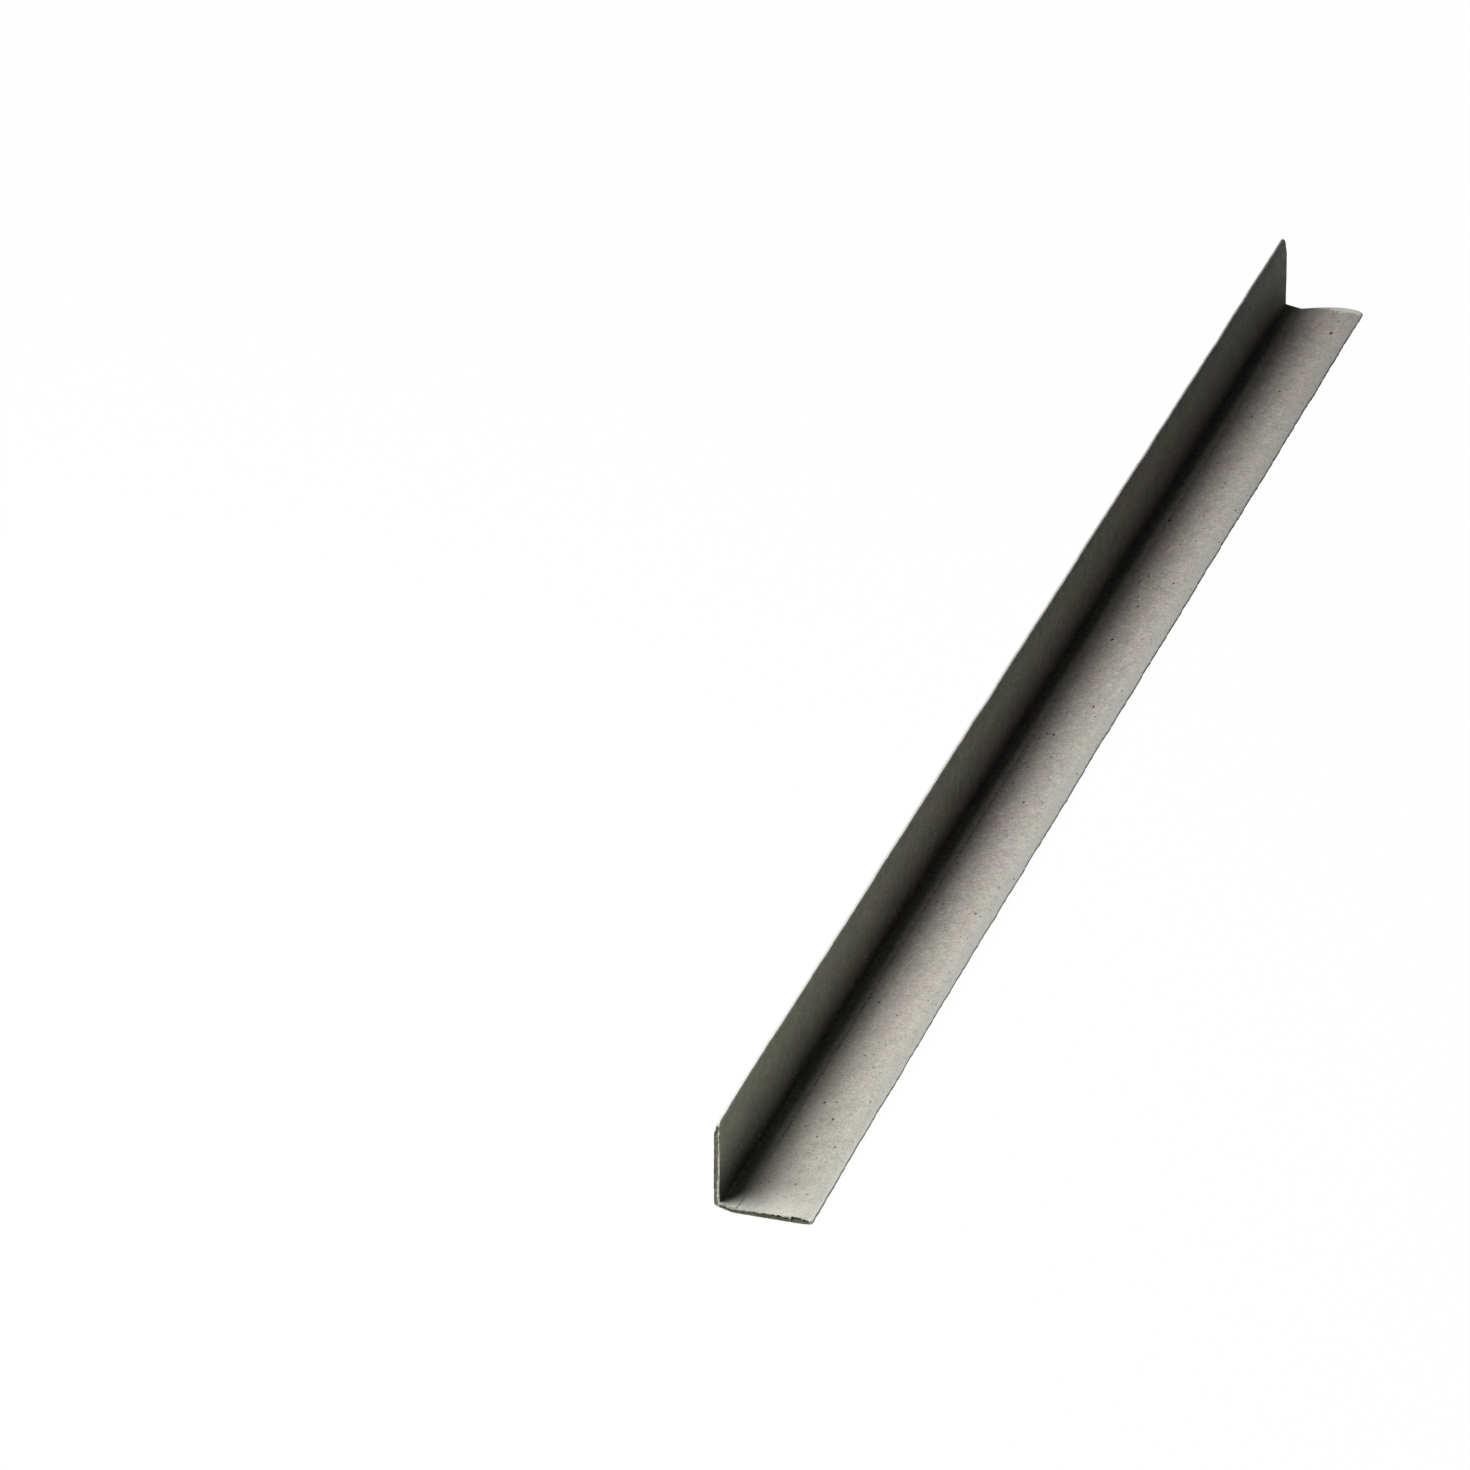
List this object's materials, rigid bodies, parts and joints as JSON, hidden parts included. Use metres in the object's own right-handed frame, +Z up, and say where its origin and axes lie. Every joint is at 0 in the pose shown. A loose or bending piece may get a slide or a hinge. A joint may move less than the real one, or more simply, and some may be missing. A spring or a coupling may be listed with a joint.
{
  "type": "pallet edge protector",
  "caption": "Long L-section edge board of laminated recycled paperboard, with one flat leg, one upright leg and rounded long edges, for shielding the corner of a strapped load.",
  "frame": {"origin": "on the floor, half way along the board and half way across its flat leg", "axes": "+X across the flat leg from the corner to its tip, +Y along the board from the near cut to the far cut, +Z up the upright leg"},
  "size_m": [0.0504, 1, 0.051],
  "materials": {
    "board": "matte recycled grey-beige board with dark specks and pale fibres"
  },
  "bodies": {
    "root": {"angle_board": "board"}
  },
  "joints": []
}
